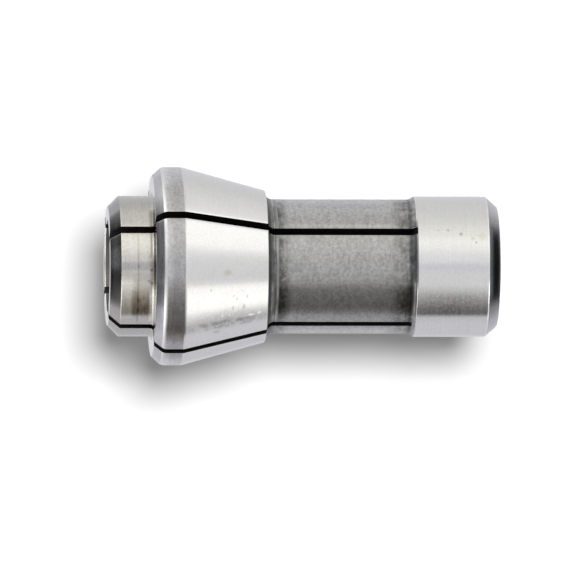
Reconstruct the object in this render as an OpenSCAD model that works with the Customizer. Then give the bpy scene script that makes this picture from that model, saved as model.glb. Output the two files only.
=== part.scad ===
// Spring collet for a hand-held air tool, turned and slit from one piece of steel.
// It stands on its rear face: the axis is Z, z = 0 is the rear face and the nose points up.
// The slits lie on the X and Y axes.

/* [Body] */
// Length from the rear face to the nose face
overall_length = 25; // [23:0.5:32]
// Diameter of the ground land that slides in the spindle
land_d = 9; // [8.8:0.1:9.6]
// Length of the land, rear chamfer included
land_length = 5.35; // [3:0.05:7]
// How far the thin springing neck lies below the land
neck_step = 0.2; // [0.1:0.05:0.3]
// Nose radius of the tool that turned the neck, left at both of its ends
neck_tool_r = 0.5; // [0.3:0.05:0.6]
// Length of the chamfer on the rear end
rear_chamfer_length = 0.75; // [0.4:0.05:1.2]
// How far the rear chamfer takes the radius in
rear_chamfer_depth = 0.65; // [0.3:0.05:0.65]

/* [Head] */
// Diameter of the nose, which comes out through the nut
nose_d = 9; // [8.6:0.1:10]
// Length of the nose in front of the head
nose_length = 2.85; // [1.5:0.05:4]
// Size of the 45 degree chamfer on the nose
nose_chamfer = 0.7; // [0.3:0.05:0.9]
// Diameter of the head, its widest place
head_d = 12.7; // [12:0.1:14]
// Length of the head in front of the taper, chamfer included
head_band = 1.9; // [1.4:0.05:3]
// Length of the chamfer that the nut presses on
nut_chamfer_length = 0.6; // [0.4:0.05:0.7]
// How far the nut chamfer takes the radius in
nut_chamfer_depth = 0.55; // [0.4:0.05:0.6]
// Radius that rounds the nut chamfer into the head
head_crest_r = 0.45; // [0.3:0.05:0.9]
// Angle of the taper's side to the axis
taper_angle = 15.5; // [13:0.5:16]
// Length of the taper that seats in the spindle
taper_length = 5.35; // [4:0.05:5.5]

/* [Bore] */
// Diameter of the tool shank that the jaws grip
shank_d = 6; // [3:0.05:6.35]
// Length of the gripping bore from the nose face
grip_length = 11.5; // [8:0.5:16]
// Diameter of the relieved bore behind the grip
relief_d = 6.6; // [6.5:0.05:6.8]
// Angle to the axis at which the relief narrows to the grip
relief_cone_angle = 30; // [20:5:60]
// Size of the lead-in at the nose
mouth_lead = 0.15; // [0.05:0.05:0.4]
// Size of the broken edge inside the rear face
rear_bore_lead = 0.15; // [0.05:0.05:0.2]

/* [Slits] */
// Width of the saw cut between two jaws
slit_w = 0.5; // [0.3:0.05:1]
// Length of the two slits on the Y axis, on the outside of the neck
slit_length = 19.6; // [17:0.1:19.8]
// How much sooner the two slits on the X axis stop
slit_x_short = 0.2; // [0:0.05:0.6]
// Diameter of the slitting saw, whose rim shapes the end of each slit
saw_d = 25; // [20:1:40]
// How far the saw's rim stays off the far side of the gripping bore
saw_clear = 0.6; // [0.3:0.1:0.9]

/* [Edges] */
// Radius on the ground edges
edge_r = 0.08; // [0.04:0.01:0.12]
// Radius in the corner between the nose and the head
nose_root_r = 0.25; // [0.05:0.05:0.4]

/* [Hidden] */
$fn = 96;
// Overrun of a cut past the surface that it starts from
over = 1;
// Most that a rounded corner turns in one step, in degrees
arc_step = 12;

land_r = land_d / 2;
neck_r = land_r - neck_step;
nose_r = nose_d / 2;
head_r = head_d / 2;
grip_r = shank_d / 2;
relief_r = relief_d / 2;
saw_r = saw_d / 2;

// Heights of the features above the rear face
head_front_z = overall_length - nose_length;
taper_top_z = head_front_z - head_band;
taper_end_z = taper_top_z - taper_length;
grip_end_z = overall_length - grip_length;
relief_end_z = grip_end_z - (relief_r - grip_r) / tan(relief_cone_angle);

// The slope that the neck tool's nose leaves between the land and the neck
slope_turn = acos(1 - neck_step / neck_tool_r);
slope_length = neck_tool_r * sin(slope_turn);

// The neck tool's radius behind the head, no larger than the step that it stands in
taper_end_r = head_r - taper_length * tan(taper_angle);
neck_corner_r = min(neck_tool_r, taper_end_r - neck_r - edge_r);

// Points of an arc around a centre, from one angle to another
function arc(centre, r, from, to) =
    let (steps = ceil(abs(to - from) / arc_step))
    [for (i = [0:steps]) let (a = from + (to - from) * i / steps) centre + r * [cos(a), sin(a)]];

function unit(v) = v / norm(v);
function heading(v) = atan2(v.y, v.x);
// The angle b brought within half a turn of the angle a
function near(a, b) = b - 360 * round((b - a) / 360);

// Points of the arc of radius r that rounds the corner b between its neighbours a and c
function rounded(a, b, c, r) =
    let (
        to_a = unit(a - b),
        to_c = unit(c - b),
        half = acos(to_a * to_c) / 2,
        centre = b + unit(to_a + to_c) * r / sin(half),
        from = heading(b + to_a * r / tan(half) - centre),
        to = near(from, heading(b + to_c * r / tan(half) - centre))
    )
    arc(centre, r, from, to);

// The outline through a list of [corner, radius], where a corner of no radius stays sharp
function outline(corners) =
    let (n = len(corners))
    [for (i = [0:n - 1])
        each corners[i][1] == 0 ? [corners[i][0]] : rounded(
            corners[(i + n - 1) % n][0], corners[i][0], corners[(i + 1) % n][0], corners[i][1]
        )];

// Half of the outside's section, to the right of the axis, from the rear face to the nose
module outside_section() {
    slope = arc([neck_r + neck_tool_r, land_length + slope_length], neck_tool_r, 180 + slope_turn, 180);
    polygon(outline([
        [[0, 0], 0],
        [[land_r - rear_chamfer_depth, 0], edge_r],
        [[land_r, rear_chamfer_length], edge_r],
        for (point = slope) [point, 0],
        [[neck_r, taper_end_z], neck_corner_r],
        [[taper_end_r, taper_end_z], edge_r],
        [[head_r, taper_top_z], edge_r],
        [[head_r, head_front_z - nut_chamfer_length], head_crest_r],
        [[head_r - nut_chamfer_depth, head_front_z], edge_r],
        [[nose_r, head_front_z], nose_root_r],
        [[nose_r, overall_length - nose_chamfer], edge_r],
        [[nose_r - nose_chamfer, overall_length], edge_r],
        [[0, overall_length], 0]
    ]));
}

// Half of the bore's section: the relief from the rear, its short cone, the grip and both lead-ins
module bore_section() {
    polygon([
        [0, -over],
        [relief_r + rear_bore_lead + over, -over],
        [relief_r, rear_bore_lead],
        [relief_r, relief_end_z],
        [grip_r, grip_end_z],
        [grip_r, overall_length - mouth_lead],
        [grip_r + mouth_lead + over, overall_length + over],
        [0, overall_length + over]
    ]);
}

// One saw cut, in the plane of the axis and +X: a disc that was fed in from the nose.
// It reaches through one wall only, and its rim leaves the slope at the end of the slit.
module saw_cut(length) {
    centre_r = saw_r - (grip_r - saw_clear);
    end_z = overall_length - length;
    centre_z = end_z + sqrt(pow(saw_r, 2) - pow(centre_r - neck_r, 2));
    feed = overall_length + over - centre_z;
    rotate([90, 0, 0]) linear_extrude(slit_w, center = true) {
        translate([centre_r, centre_z]) circle(saw_r);
        translate([centre_r - saw_r, centre_z]) square([saw_d, feed]);
    }
}

module collet_body() {
    color("silver") difference() {
        rotate_extrude() difference() {
            outside_section();
            bore_section();
        }
        for (turn = [0, 180]) {
            rotate(turn) saw_cut(slit_length - slit_x_short);
            rotate(turn + 90) saw_cut(slit_length);
        }
    }
}

collet_body();
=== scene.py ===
"""Air tool collet: one turned, slit and ground piece of steel, standing on its rear face.

The piece is turned by spinning its section, slit by a saw and given its broken edges. Each finish of
the real collet has a material: the ground taper and land, the turned nose, band and neck, the dark
chamfers, the faced ends, the bore, the sawn slit walls and the worn edges. Many of them also carry
painted light and shade, set by the angle from the camera's side. The stage is a pale floor and
backdrop in a light tent, with one soft lamp.
"""

import math

import bmesh
import bpy
from mathutils import Matrix, Vector


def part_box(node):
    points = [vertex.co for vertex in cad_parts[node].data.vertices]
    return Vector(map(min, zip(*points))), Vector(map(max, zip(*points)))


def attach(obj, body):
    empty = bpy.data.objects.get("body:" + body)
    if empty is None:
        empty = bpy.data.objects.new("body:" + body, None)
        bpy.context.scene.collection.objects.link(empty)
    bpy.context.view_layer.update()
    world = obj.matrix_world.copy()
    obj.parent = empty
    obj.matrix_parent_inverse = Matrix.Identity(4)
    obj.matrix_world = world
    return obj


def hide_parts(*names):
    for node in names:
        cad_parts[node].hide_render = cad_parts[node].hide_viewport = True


bl_info = {
    "name": "Air Tool Collet",
    "version": (1, 0, 0),
    "blender": (4, 5, 0),
    "location": "3D View > Sidebar > Collet",
    "description": "Models an air tool collet with its ground, turned and sawn finishes",
    "category": "Object",
}

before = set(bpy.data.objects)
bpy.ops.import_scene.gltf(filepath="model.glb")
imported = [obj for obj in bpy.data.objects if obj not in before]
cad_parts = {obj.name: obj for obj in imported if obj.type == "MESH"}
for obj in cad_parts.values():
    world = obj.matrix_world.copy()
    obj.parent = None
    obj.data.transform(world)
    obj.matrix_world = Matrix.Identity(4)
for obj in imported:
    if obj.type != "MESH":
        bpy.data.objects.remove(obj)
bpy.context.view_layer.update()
NODE_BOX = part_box("collet_body")
MM = 0.001

LENGTH = NODE_BOX[1].z

# Points closer than this, in metres, are one point
TOUCHING = 1e-7

# Most that a rounded corner turns in one step, in degrees, and the fewest steps that it has
ARC_STEP = 8
FEWEST_STEPS = 3

# The collet's finishes, in the order of its material slots
FINISHES = (
    "ground", "nose", "band", "neck", "nut chamfer", "nose chamfer", "rear chamfer", "faced", "bored",
    "sawn", "edge",
)

# Where the centres of the nose face and the rear face lie in the photograph, in pixels
PHOTO_SIZE = (576, 575)
NOSE_PIXEL = (107.1, 266.1)
REAR_PIXEL = (496.0, 266.7)


class ColletSizes(bpy.types.PropertyGroup):
    """Sizes of the collet, as its solid has them"""

    land_radius: bpy.props.FloatProperty(
        name="Land radius", description="Radius of the ground rear land",
        default=4.5 * MM, unit="LENGTH",
    )
    land_length: bpy.props.FloatProperty(
        name="Land length", description="Height of the land's front edge",
        default=5.35 * MM, unit="LENGTH",
    )
    neck_step: bpy.props.FloatProperty(
        name="Neck step", description="How far the neck lies below the land",
        default=0.2 * MM, unit="LENGTH",
    )
    neck_tool_radius: bpy.props.FloatProperty(
        name="Neck tool radius", description="Nose radius of the neck's tool",
        default=0.5 * MM, unit="LENGTH",
    )
    rear_chamfer_length: bpy.props.FloatProperty(
        name="Rear chamfer length", description="Length of the rear chamfer",
        default=0.75 * MM, unit="LENGTH",
    )
    rear_chamfer_depth: bpy.props.FloatProperty(
        name="Rear chamfer depth", description="Radius that the rear chamfer takes",
        default=0.65 * MM, unit="LENGTH",
    )
    nose_radius: bpy.props.FloatProperty(
        name="Nose radius", description="Radius of the nose",
        default=4.5 * MM, unit="LENGTH",
    )
    nose_length: bpy.props.FloatProperty(
        name="Nose length", description="Length of the nose before the head",
        default=2.85 * MM, unit="LENGTH",
    )
    nose_chamfer: bpy.props.FloatProperty(
        name="Nose chamfer", description="Size of the nose's chamfer",
        default=0.7 * MM, unit="LENGTH",
    )
    nose_root: bpy.props.FloatProperty(
        name="Nose root radius", description="Radius between nose and head",
        default=0.25 * MM, unit="LENGTH",
    )
    head_band: bpy.props.FloatProperty(
        name="Head band", description="Length of the head before its taper",
        default=1.9 * MM, unit="LENGTH",
    )
    nut_chamfer_length: bpy.props.FloatProperty(
        name="Nut chamfer length", description="Length of the chamfer under the nut",
        default=0.6 * MM, unit="LENGTH",
    )
    nut_chamfer_depth: bpy.props.FloatProperty(
        name="Nut chamfer depth", description="Radius that the nut chamfer takes",
        default=0.55 * MM, unit="LENGTH",
    )
    head_crest: bpy.props.FloatProperty(
        name="Head crest radius", description="Radius on the head's front edge",
        default=0.45 * MM, unit="LENGTH",
    )
    head_radius: bpy.props.FloatProperty(
        name="Head radius", description="Largest radius of the head",
        default=6.35 * MM, unit="LENGTH",
    )
    taper_angle: bpy.props.FloatProperty(
        name="Taper angle", description="Angle of the taper's side to the axis",
        default=math.radians(15.5), subtype="ANGLE",
    )
    taper_length: bpy.props.FloatProperty(
        name="Taper length", description="Length of the taper",
        default=5.35 * MM, unit="LENGTH",
    )
    taper_corner: bpy.props.FloatProperty(
        name="Taper corner radius", description="Radius between the taper and the band",
        default=0.6 * MM, unit="LENGTH",
    )
    grip_radius: bpy.props.FloatProperty(
        name="Grip radius", description="Radius of the gripping bore",
        default=3 * MM, unit="LENGTH",
    )
    grip_length: bpy.props.FloatProperty(
        name="Grip length", description="Length of the gripping bore",
        default=11.5 * MM, unit="LENGTH",
    )
    relief_radius: bpy.props.FloatProperty(
        name="Relief radius", description="Radius of the bore behind the grip",
        default=3.3 * MM, unit="LENGTH",
    )
    relief_cone_angle: bpy.props.FloatProperty(
        name="Relief cone angle", description="Angle of the relief's front end",
        default=math.radians(30), subtype="ANGLE",
    )
    mouth_edge: bpy.props.FloatProperty(
        name="Mouth edge radius", description="Radius on the bore's mouth",
        default=0.08 * MM, unit="LENGTH",
    )
    rear_lead: bpy.props.FloatProperty(
        name="Rear lead-in", description="Size of the broken edge inside the rear face",
        default=0.15 * MM, unit="LENGTH",
    )
    edge_radius: bpy.props.FloatProperty(
        name="Edge radius", description="Radius on the turned edges",
        default=0.08 * MM, unit="LENGTH",
    )
    slit_width: bpy.props.FloatProperty(
        name="Slit width", description="Width of a saw cut",
        default=0.5 * MM, unit="LENGTH",
    )
    slit_length: bpy.props.FloatProperty(
        name="Slit length", description="Length of the longer pair of slits",
        default=19.6 * MM, unit="LENGTH",
    )
    slit_short: bpy.props.FloatProperty(
        name="Slit difference", description="How much sooner the other pair stops",
        default=0.2 * MM, unit="LENGTH",
    )
    saw_radius: bpy.props.FloatProperty(
        name="Saw radius", description="Radius of the slitting saw",
        default=12.5 * MM, unit="LENGTH",
    )
    saw_clear: bpy.props.FloatProperty(
        name="Saw clearance", description="How far the saw stays off the bore's far side",
        default=0.6 * MM, unit="LENGTH",
    )
    slit_edge: bpy.props.FloatProperty(
        name="Slit edge", description="Size of the broken edge along the slits",
        default=0.05 * MM, unit="LENGTH",
    )
    rear_edge: bpy.props.FloatProperty(
        name="Rear edge radius", description="Radius on the rear chamfer's rubbed edges",
        default=0.15 * MM, unit="LENGTH",
    )
    land_edge: bpy.props.FloatProperty(
        name="Land edge", description="Size of the rub on the land's front edge",
        default=0.022 * MM, unit="LENGTH",
    )
    turn_steps: bpy.props.IntProperty(
        name="Turn steps", description="Steps in one turn of the section",
        default=288, min=48,
    )


class ColletLook(bpy.types.PropertyGroup):
    """Colours of the collet's finishes"""

    ground: bpy.props.FloatVectorProperty(
        name="Ground steel", description="Colour of the taper and the land",
        subtype="COLOR", default=(0.628, 0.624, 0.613),
    )
    nose: bpy.props.FloatVectorProperty(
        name="Nose steel", description="Colour of the nose",
        subtype="COLOR", default=(0.52, 0.505, 0.47),
    )
    band: bpy.props.FloatVectorProperty(
        name="Band steel", description="Colour of the head's band",
        subtype="COLOR", default=(0.36, 0.353, 0.352),
    )
    neck: bpy.props.FloatVectorProperty(
        name="Neck steel", description="Colour of the turned neck",
        subtype="COLOR", default=(0.35, 0.346, 0.338),
    )
    nut_chamfer: bpy.props.FloatVectorProperty(
        name="Nut chamfer steel", description="Colour of the head's chamfer",
        subtype="COLOR", default=(0.49, 0.49, 0.50),
    )
    nose_chamfer: bpy.props.FloatVectorProperty(
        name="Nose chamfer steel", description="Colour of the nose's chamfer",
        subtype="COLOR", default=(0.31, 0.302, 0.295),
    )
    rear_chamfer: bpy.props.FloatVectorProperty(
        name="Rear chamfer steel", description="Colour of the rear chamfer",
        subtype="COLOR", default=(0.45, 0.45, 0.46),
    )
    faced: bpy.props.FloatVectorProperty(
        name="Faced steel", description="Colour of the end faces",
        subtype="COLOR", default=(0.74, 0.73, 0.70),
    )
    edge: bpy.props.FloatVectorProperty(
        name="Worn edge steel", description="Colour of the rubbed edges",
        subtype="COLOR", default=(0.68, 0.68, 0.675),
    )
    sawn: bpy.props.FloatVectorProperty(
        name="Sawn steel", description="Colour of the slit walls",
        subtype="COLOR", default=(0.03, 0.028, 0.026),
    )
    bore: bpy.props.FloatVectorProperty(
        name="Bored steel", description="Colour of the bore",
        subtype="COLOR", default=(0.30, 0.29, 0.27),
    )


class ColletStage(bpy.types.PropertyGroup):
    """Camera, papers, light tent and lamp"""

    azimuth: bpy.props.FloatProperty(
        name="Camera azimuth", description="Direction of the camera round the axis",
        default=math.radians(-121.0), subtype="ANGLE",
    )
    elevation: bpy.props.FloatProperty(
        name="Camera elevation", description="How far the nose is turned to the camera",
        default=math.radians(4.0), subtype="ANGLE",
    )
    distance: bpy.props.FloatProperty(
        name="Camera distance", description="Distance from the camera to the collet",
        default=1.0, unit="LENGTH",
    )
    floor_size: bpy.props.FloatProperty(
        name="Floor size", description="Side of the floor",
        default=3.0, unit="LENGTH",
    )
    backdrop_gap: bpy.props.FloatProperty(
        name="Backdrop gap", description="From the axis to the backdrop",
        default=16 * MM, unit="LENGTH",
    )
    backdrop_share: bpy.props.FloatProperty(
        name="Backdrop share", description="Side of the backdrop as a share of the picture's width",
        default=1.2,
    )
    top_lean: bpy.props.FloatProperty(
        name="Tent top lean", description="How far the tent's dark top leans from straight above",
        default=math.radians(13.0), subtype="ANGLE",
    )
    top_swing: bpy.props.FloatProperty(
        name="Tent top swing", description="Direction in which the dark top leans, from the camera's side",
        default=math.radians(153.0), subtype="ANGLE",
    )
    scattered_share: bpy.props.FloatProperty(
        name="Scattered share", description="Share of the tent's light that reaches what scatters it",
        default=0.255, subtype="FACTOR",
    )
    lamp_power: bpy.props.FloatProperty(
        name="Lamp power", description="Strength of the lamp",
        default=3.3,
    )
    lamp_spread: bpy.props.FloatProperty(
        name="Lamp spread", description="Angle that the lamp fills, which softens the shadow",
        default=math.radians(12.0), subtype="ANGLE",
    )
    lamp_right: bpy.props.FloatProperty(
        name="Lamp right", description="How far right of the camera the lamp is, for each metre away",
        default=0.09,
    )
    lamp_up: bpy.props.FloatProperty(
        name="Lamp up", description="How far above the camera the lamp is, for each metre away",
        default=0.112,
    )


# The section and the turned body


def section(sizes):
    """Corners of the section from the rear face up the outside and down the bore, as (radius, height,
    radius that rounds the corner, finish of that rounding, finish of the surface after the corner)."""
    s = sizes
    edge = s.edge_radius
    land = s.land_radius
    neck = land - s.neck_step
    head = s.head_radius
    head_front = LENGTH - s.nose_length
    taper_top = head_front - s.head_band
    taper_end = taper_top - s.taper_length
    taper_end_radius = head - s.taper_length * math.tan(s.taper_angle)
    grip_end = LENGTH - s.grip_length
    relief_end = grip_end - (s.relief_radius - s.grip_radius) / math.tan(s.relief_cone_angle)
    # The neck tool leaves the land's edge on an arc: its corner is where the arc's end tangents meet
    slope_turn = math.acos(1 - s.neck_step / s.neck_tool_radius)
    slope_corner = (
        s.land_length + s.neck_step / math.tan(slope_turn / 2) - s.neck_step / math.tan(slope_turn)
    )
    return (
        (land - s.rear_chamfer_depth, 0, s.rear_edge, "rear chamfer", "rear chamfer"),
        (land, s.rear_chamfer_length, s.rear_edge, "edge", "ground"),
        (land, s.land_length, 0, "ground", "neck"),
        (neck, slope_corner, s.neck_tool_radius, "neck", "neck"),
        (neck, taper_end, s.neck_tool_radius, "neck", "neck"),
        (taper_end_radius, taper_end, edge, "ground", "ground"),
        (head, taper_top, s.taper_corner, "ground", "band"),
        (head, head_front - s.nut_chamfer_length, s.head_crest, "band", "nut chamfer"),
        (head - s.nut_chamfer_depth, head_front, edge, "nut chamfer", "faced"),
        (s.nose_radius, head_front, s.nose_root, "nose", "nose"),
        (s.nose_radius, LENGTH - s.nose_chamfer, edge, "nose", "nose chamfer"),
        (s.nose_radius - s.nose_chamfer, LENGTH, edge, "faced", "faced"),
        (s.grip_radius, LENGTH, s.mouth_edge, "faced", "bored"),
        (s.grip_radius, grip_end, 0, "bored", "bored"),
        (s.relief_radius, relief_end, 0, "bored", "bored"),
        (s.relief_radius, s.rear_lead, 0, "bored", "bored"),
        (s.relief_radius + s.rear_lead, 0, 0, "faced", "faced"),
    )


def turned_body(sizes):
    """A bmesh of the section spun round the axis, with its corners rounded."""
    corners = section(sizes)
    bm = bmesh.new()
    for i, (radius, height, _, _, finish) in enumerate(corners):
        next_radius, next_height = corners[(i + 1) % len(corners)][:2]
        ends = [bm.verts.new((radius, 0, height)), bm.verts.new((next_radius, 0, next_height))]
        line = bm.edges.new(ends)
        others = set(bm.faces)
        bmesh.ops.spin(
            bm, geom=ends + [line], cent=(0, 0, 0), axis=(0, 0, 1), dvec=(0, 0, 0),
            angle=2 * math.pi, steps=sizes.turn_steps, use_merge=True,
        )
        for f in set(bm.faces) - others:
            f.material_index = FINISHES.index(finish)
    bmesh.ops.remove_doubles(bm, verts=bm.verts, dist=TOUCHING)
    bmesh.ops.recalc_face_normals(bm, faces=bm.faces)
    for i, (radius, height, rounding, finish, _) in enumerate(corners):
        if rounding:
            point = Vector((radius, height))
            to_before = Vector(corners[i - 1][:2]) - point
            to_after = Vector(corners[(i + 1) % len(corners)][:2]) - point
            half = to_before.angle(to_after) / 2
            segments = max(FEWEST_STEPS, math.ceil(math.degrees(math.pi - 2 * half) / ARC_STEP))
            bevel_ring(bm, radius, height, rounding / math.tan(half), segments, finish)
    bevel_ring(bm, sizes.land_radius, sizes.land_length, sizes.land_edge, 2, "ground")
    space_meridians(bm, sizes)
    return bm


def bevel_ring(bm, radius, height, size, segments, finish):
    """Rounds the ring of edges at a radius and a height."""
    ring = [
        e for e in bm.edges
        if all(
            abs(v.co.z - height) < TOUCHING and abs(v.co.xy.length - radius) < TOUCHING for v in e.verts
        )
    ]
    rounded = bmesh.ops.bevel(
        bm, geom=ring, offset=size, offset_type="OFFSET", affect="EDGES", segments=segments,
        profile=0.5, material=-1, clamp_overlap=False,
    )
    for f in rounded["faces"]:
        f.material_index = FINISHES.index(finish)


def space_meridians(bm, sizes):
    """Turns the meridians so that each slit has one at its middle and none close to its walls."""
    quarter = math.pi / 2
    step = 2 * math.pi / sizes.turn_steps
    wall_gap = sizes.slit_width / 2 + 3 * sizes.slit_edge
    for v in bm.verts:
        angle = math.atan2(v.co.y, v.co.x)
        middle = quarter * round(angle / quarter)
        offset = angle - middle
        if abs(offset) < step / 2:
            continue
        first = math.asin(wall_gap / v.co.xy.length)
        share = (quarter / 2 - abs(offset)) / (quarter / 2 - step)
        turn = math.copysign((first - step) * share, offset)
        v.co.rotate(Matrix.Rotation(turn, 3, "Z"))


# The slits


def saw_cutter(sizes, length):
    """A bmesh of the saw's path through the wall at +X: its disc, fed in from the nose."""
    s = sizes
    centre = s.saw_radius - (s.grip_radius - s.saw_clear)
    rim_to_neck = centre - (s.land_radius - s.neck_step)
    centre_height = LENGTH - length + math.sqrt(s.saw_radius**2 - rim_to_neck**2)
    bm = bmesh.new()
    bmesh.ops.create_circle(bm, cap_ends=True, segments=720, radius=s.saw_radius)
    # The disc's two middle points lie within this of zero, and stay where they are
    level = 1e-6
    bmesh.ops.translate(bm, verts=[v for v in bm.verts if v.co.y > level], vec=(0, LENGTH, 0))
    stand_up = Matrix.Rotation(math.pi / 2, 4, "X")
    to_place = Matrix.Translation((centre, s.slit_width / 2, centre_height))
    bmesh.ops.transform(bm, matrix=to_place @ stand_up, verts=bm.verts)
    wide = bmesh.ops.extrude_face_region(bm, geom=bm.faces[:])["geom"]
    bmesh.ops.translate(
        bm, verts=[g for g in wide if isinstance(g, bmesh.types.BMVert)], vec=(0, -s.slit_width, 0)
    )
    # Inside the bore the path is cut short, so that the four paths don't meet
    inner = s.grip_radius - s.saw_clear
    trimmed = bmesh.ops.bisect_plane(
        bm, geom=bm.verts[:] + bm.edges[:] + bm.faces[:], plane_co=(inner, 0, 0), plane_no=(1, 0, 0),
        clear_inner=True,
    )
    rim = [g for g in trimmed["geom_cut"] if isinstance(g, bmesh.types.BMEdge)]
    bmesh.ops.edgeloop_fill(bm, edges=rim)
    bmesh.ops.recalc_face_normals(bm, faces=bm.faces)
    for f in bm.faces:
        f.material_index = FINISHES.index("sawn")
    return bm


def mesh_object(bm, name):
    """A new object holding the bmesh, which is freed."""
    mesh = bpy.data.meshes.new(name)
    bm.to_mesh(mesh)
    bm.free()
    piece = bpy.data.objects.new(name, mesh)
    bpy.context.scene.collection.objects.link(piece)
    return piece


def cut_slits(body, sizes):
    """Cuts the four slits out of the body's mesh."""
    saw = bmesh.new()
    for quarter in range(4):
        length = sizes.slit_length - (sizes.slit_short if quarter % 2 == 0 else 0)
        path = saw_cutter(sizes, length)
        bmesh.ops.rotate(path, verts=path.verts, matrix=Matrix.Rotation(quarter * math.pi / 2, 3, "Z"))
        part = bpy.data.meshes.new("saw path")
        path.to_mesh(part)
        path.free()
        saw.from_mesh(part)
        bpy.data.meshes.remove(part)
    cutter = mesh_object(saw, "saw paths")
    cut = body.modifiers.new("slits", "BOOLEAN")
    cut.operation = "DIFFERENCE"
    cut.solver = "EXACT"
    cut.object = cutter
    bpy.context.view_layer.update()
    evaluated = body.evaluated_get(bpy.context.evaluated_depsgraph_get())
    slit = bpy.data.meshes.new_from_object(evaluated)
    body.modifiers.clear()
    whole = body.data
    body.data = slit
    bpy.data.meshes.remove(whole)
    used = cutter.data
    bpy.data.objects.remove(cutter)
    bpy.data.meshes.remove(used)


def break_slit_edges(body, sizes):
    """Breaks the long sharp edges that the saw leaves along its walls."""
    bm = bmesh.new()
    bm.from_mesh(body.data)
    same_point = 1e-8
    bmesh.ops.remove_doubles(bm, verts=bm.verts, dist=same_point)
    sawn = FINISHES.index("sawn")
    long_edges = [
        e for e in bm.edges
        if len(e.link_faces) == 2
        and sum(f.material_index == sawn for f in e.link_faces) == 1
        and all(is_flat(f) for f in e.link_faces if f.material_index == sawn)
    ]
    broken = bmesh.ops.bevel(
        bm, geom=long_edges, offset=sizes.slit_edge, offset_type="OFFSET", affect="EDGES",
        segments=2, profile=0.5, material=-1, clamp_overlap=True,
    )
    for f in broken["faces"]:
        f.material_index = FINISHES.index("edge")
    bm.to_mesh(body.data)
    bm.free()


def is_flat(face):
    """Whether a sawn face is one of the slit's two flat walls."""
    return max(abs(face.normal.x), abs(face.normal.y)) > 0.9999


# Finishes


def fill(tree, socket, value):
    """Gives an input a value or another node's output."""
    if isinstance(value, bpy.types.NodeSocket):
        tree.links.new(value, socket)
    else:
        socket.default_value = value


def add(tree, kind, inputs=None, **settings):
    """Adds a node with its settings and what its inputs take."""
    node = tree.nodes.new(kind)
    for name, value in settings.items():
        setattr(node, name, value)
    for name, value in (inputs or {}).items():
        fill(tree, node.inputs[name], value)
    return node


def math_node(tree, operation, *values):
    """The value of one sum."""
    return add(tree, "ShaderNodeMath", dict(enumerate(values)), operation=operation).outputs[0]


def vector_node(tree, operation, *vectors, result="Vector"):
    """The result of one step with vectors."""
    node = add(tree, "ShaderNodeVectorMath", dict(enumerate(vectors)), operation=operation)
    return node.outputs[result]


def fade(tree, value, full, gone):
    """1 from the full value outwards, falling smoothly to 0 at the other value."""
    return add(
        tree, "ShaderNodeMapRange",
        {"Value": value, "From Min": full, "From Max": gone, "To Min": 1.0, "To Max": 0.0},
        interpolation_type="SMOOTHSTEP",
    ).outputs["Result"]


def blend_colours(tree, share, first, second, how="MIX"):
    """The first colour with a share of the second."""
    node = add(tree, "ShaderNodeMix", {0: share, 6: first, 7: second}, data_type="RGBA", blend_type=how)
    return node.outputs[2]


def new_group(name, inputs, outputs):
    """A node group with named inputs and outputs: returns its tree, what it is given and what it gives."""
    group = bpy.data.node_groups.new(name, "ShaderNodeTree")
    for label, kind, default in inputs:
        socket = group.interface.new_socket(label, in_out="INPUT", socket_type=kind)
        socket.default_value = default
    for label, kind in outputs:
        group.interface.new_socket(label, in_out="OUTPUT", socket_type=kind)
    return group, add(group, "NodeGroupInput").outputs, add(group, "NodeGroupOutput").inputs


def place_group(tree, name, **inputs):
    """Places a group in a material with its own values."""
    node = tree.nodes.new("ShaderNodeGroup")
    node.node_tree = bpy.data.node_groups[name]
    for label, value in inputs.items():
        fill(tree, node.inputs[label.replace("_", " ")], value)
    return node


def turning_grain_group():
    """Fine rings left by a turning tool or a grinding wheel, a little uneven round the piece."""
    group, given, result = new_group(
        "turning grain",
        (
            ("Position", "NodeSocketVector", (0, 0, 0)),
            ("Rings per metre", "NodeSocketFloat", 12000.0),
            ("Drift per metre", "NodeSocketFloat", 120.0),
        ),
        (("Grain", "NodeSocketFloat"),),
    )
    axes = add(group, "ShaderNodeSeparateXYZ", {0: given["Position"]}).outputs
    across = math_node(group, "MULTIPLY", axes["X"], axes["X"])
    across = math_node(group, "MULTIPLY_ADD", axes["Y"], axes["Y"], across)
    radius = math_node(group, "SQRT", across)
    # The radius counts too, so that a face square to the axis has its rings
    along = math_node(group, "MULTIPLY_ADD", radius, 0.6, axes["Z"])
    spot = add(
        group, "ShaderNodeCombineXYZ",
        {
            "X": math_node(group, "MULTIPLY", axes["X"], given["Drift per metre"]),
            "Y": math_node(group, "MULTIPLY", axes["Y"], given["Drift per metre"]),
            "Z": math_node(group, "MULTIPLY", along, given["Rings per metre"]),
        },
    ).outputs[0]
    noise = add(
        group, "ShaderNodeTexNoise", {"Vector": spot, "Scale": 1.0, "Detail": 3.0, "Roughness": 0.6}
    )
    grain = add(
        group, "ShaderNodeMapRange", {"Value": noise.outputs["Fac"], "From Min": 0.3, "From Max": 0.7}
    )
    group.links.new(grain.outputs["Result"], result["Grain"])


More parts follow.
